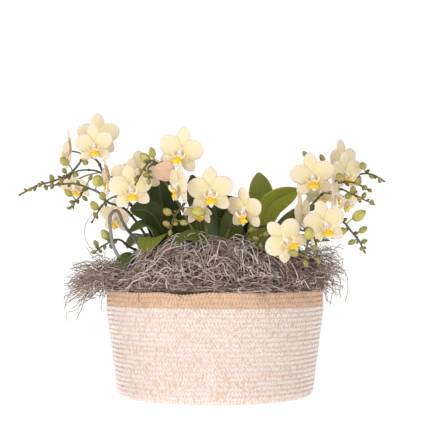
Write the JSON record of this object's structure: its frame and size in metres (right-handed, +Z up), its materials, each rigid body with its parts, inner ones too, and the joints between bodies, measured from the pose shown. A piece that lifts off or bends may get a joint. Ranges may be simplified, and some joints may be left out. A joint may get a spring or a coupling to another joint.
{
  "type": "potted orchid",
  "caption": "Small yellow moth orchids with arching sprays and strap leaves, mossed into a round stitched rope basket with a tan band and a hidden water reservoir.",
  "frame": {"origin": "middle of the flat underside of the basket", "axes": "+Z up, -Y towards the viewer at the front, +X to the right of the viewer"},
  "size_m": [0.4223, 0.25, 0.3269],
  "materials": {
    "pale_rope": "matte cotton, off-white with tan flecks",
    "tan_rope": "matte cotton, caramel tan",
    "tub_plastic": "satin, dark grey",
    "deck_plastic": "satin, dark grey",
    "wick_cord": "matte felt cord",
    "pot_plastic": "satin, brown",
    "bark": "rough bark chips",
    "leaf": "glossy, dark green",
    "stem": "satin, olive to brown, buds yellow-green",
    "petal": "soft, pale yellow, golden lip",
    "root": "matte, silver grey",
    "clip_plastic": "satin, cream",
    "tag_wood": "bare pinkish wood",
    "moss": "dry, grey-brown strands"
  },
  "bodies": {
    "root": {"basket_wall": "pale_rope", "basket_band": "tan_rope", "reservoir_tub": "tub_plastic", "reservoir_deck": "deck_plastic", "wick_left": "wick_cord", "pot_left": "pot_plastic", "bark_left": "bark", "leafy_stem_left": "leaf", "wick_right": "wick_cord", "pot_right": "pot_plastic", "bark_right": "bark", "leafy_stem_right": "leaf", "wick_front": "wick_cord", "pot_front": "pot_plastic", "bark_front": "bark", "leafy_stem_front": "leaf", "spike_left_high": "stem", "spike_left_middle": "stem", "spike_left_low": "stem", "spike_middle_left": "stem", "spike_middle": "stem", "spike_middle_right": "stem", "spike_right_high": "stem", "spike_right_middle": "stem", "spike_right_low": "stem", "spike_right_front": "stem", "bloom_01": "petal", "bloom_02": "petal", "bloom_03": "petal", "bloom_04": "petal", "bloom_05": "petal", "bloom_06": "petal", "bloom_07": "petal", "bloom_08": "petal", "bloom_09": "petal", "bloom_10": "petal", "bloom_11": "petal", "bloom_12": "petal", "bloom_13": "petal", "bloom_14": "petal", "bloom_15": "petal", "bloom_16": "petal", "bloom_17": "petal", "bloom_18": "petal", "bloom_19": "petal", "bloom_20": "petal", "bloom_21": "petal", "bloom_22": "petal", "bloom_23": "petal", "aerial_root": "root", "tag_clip": "clip_plastic", "plant_tag": "tag_wood", "moss": "moss"}
  },
  "joints": []
}
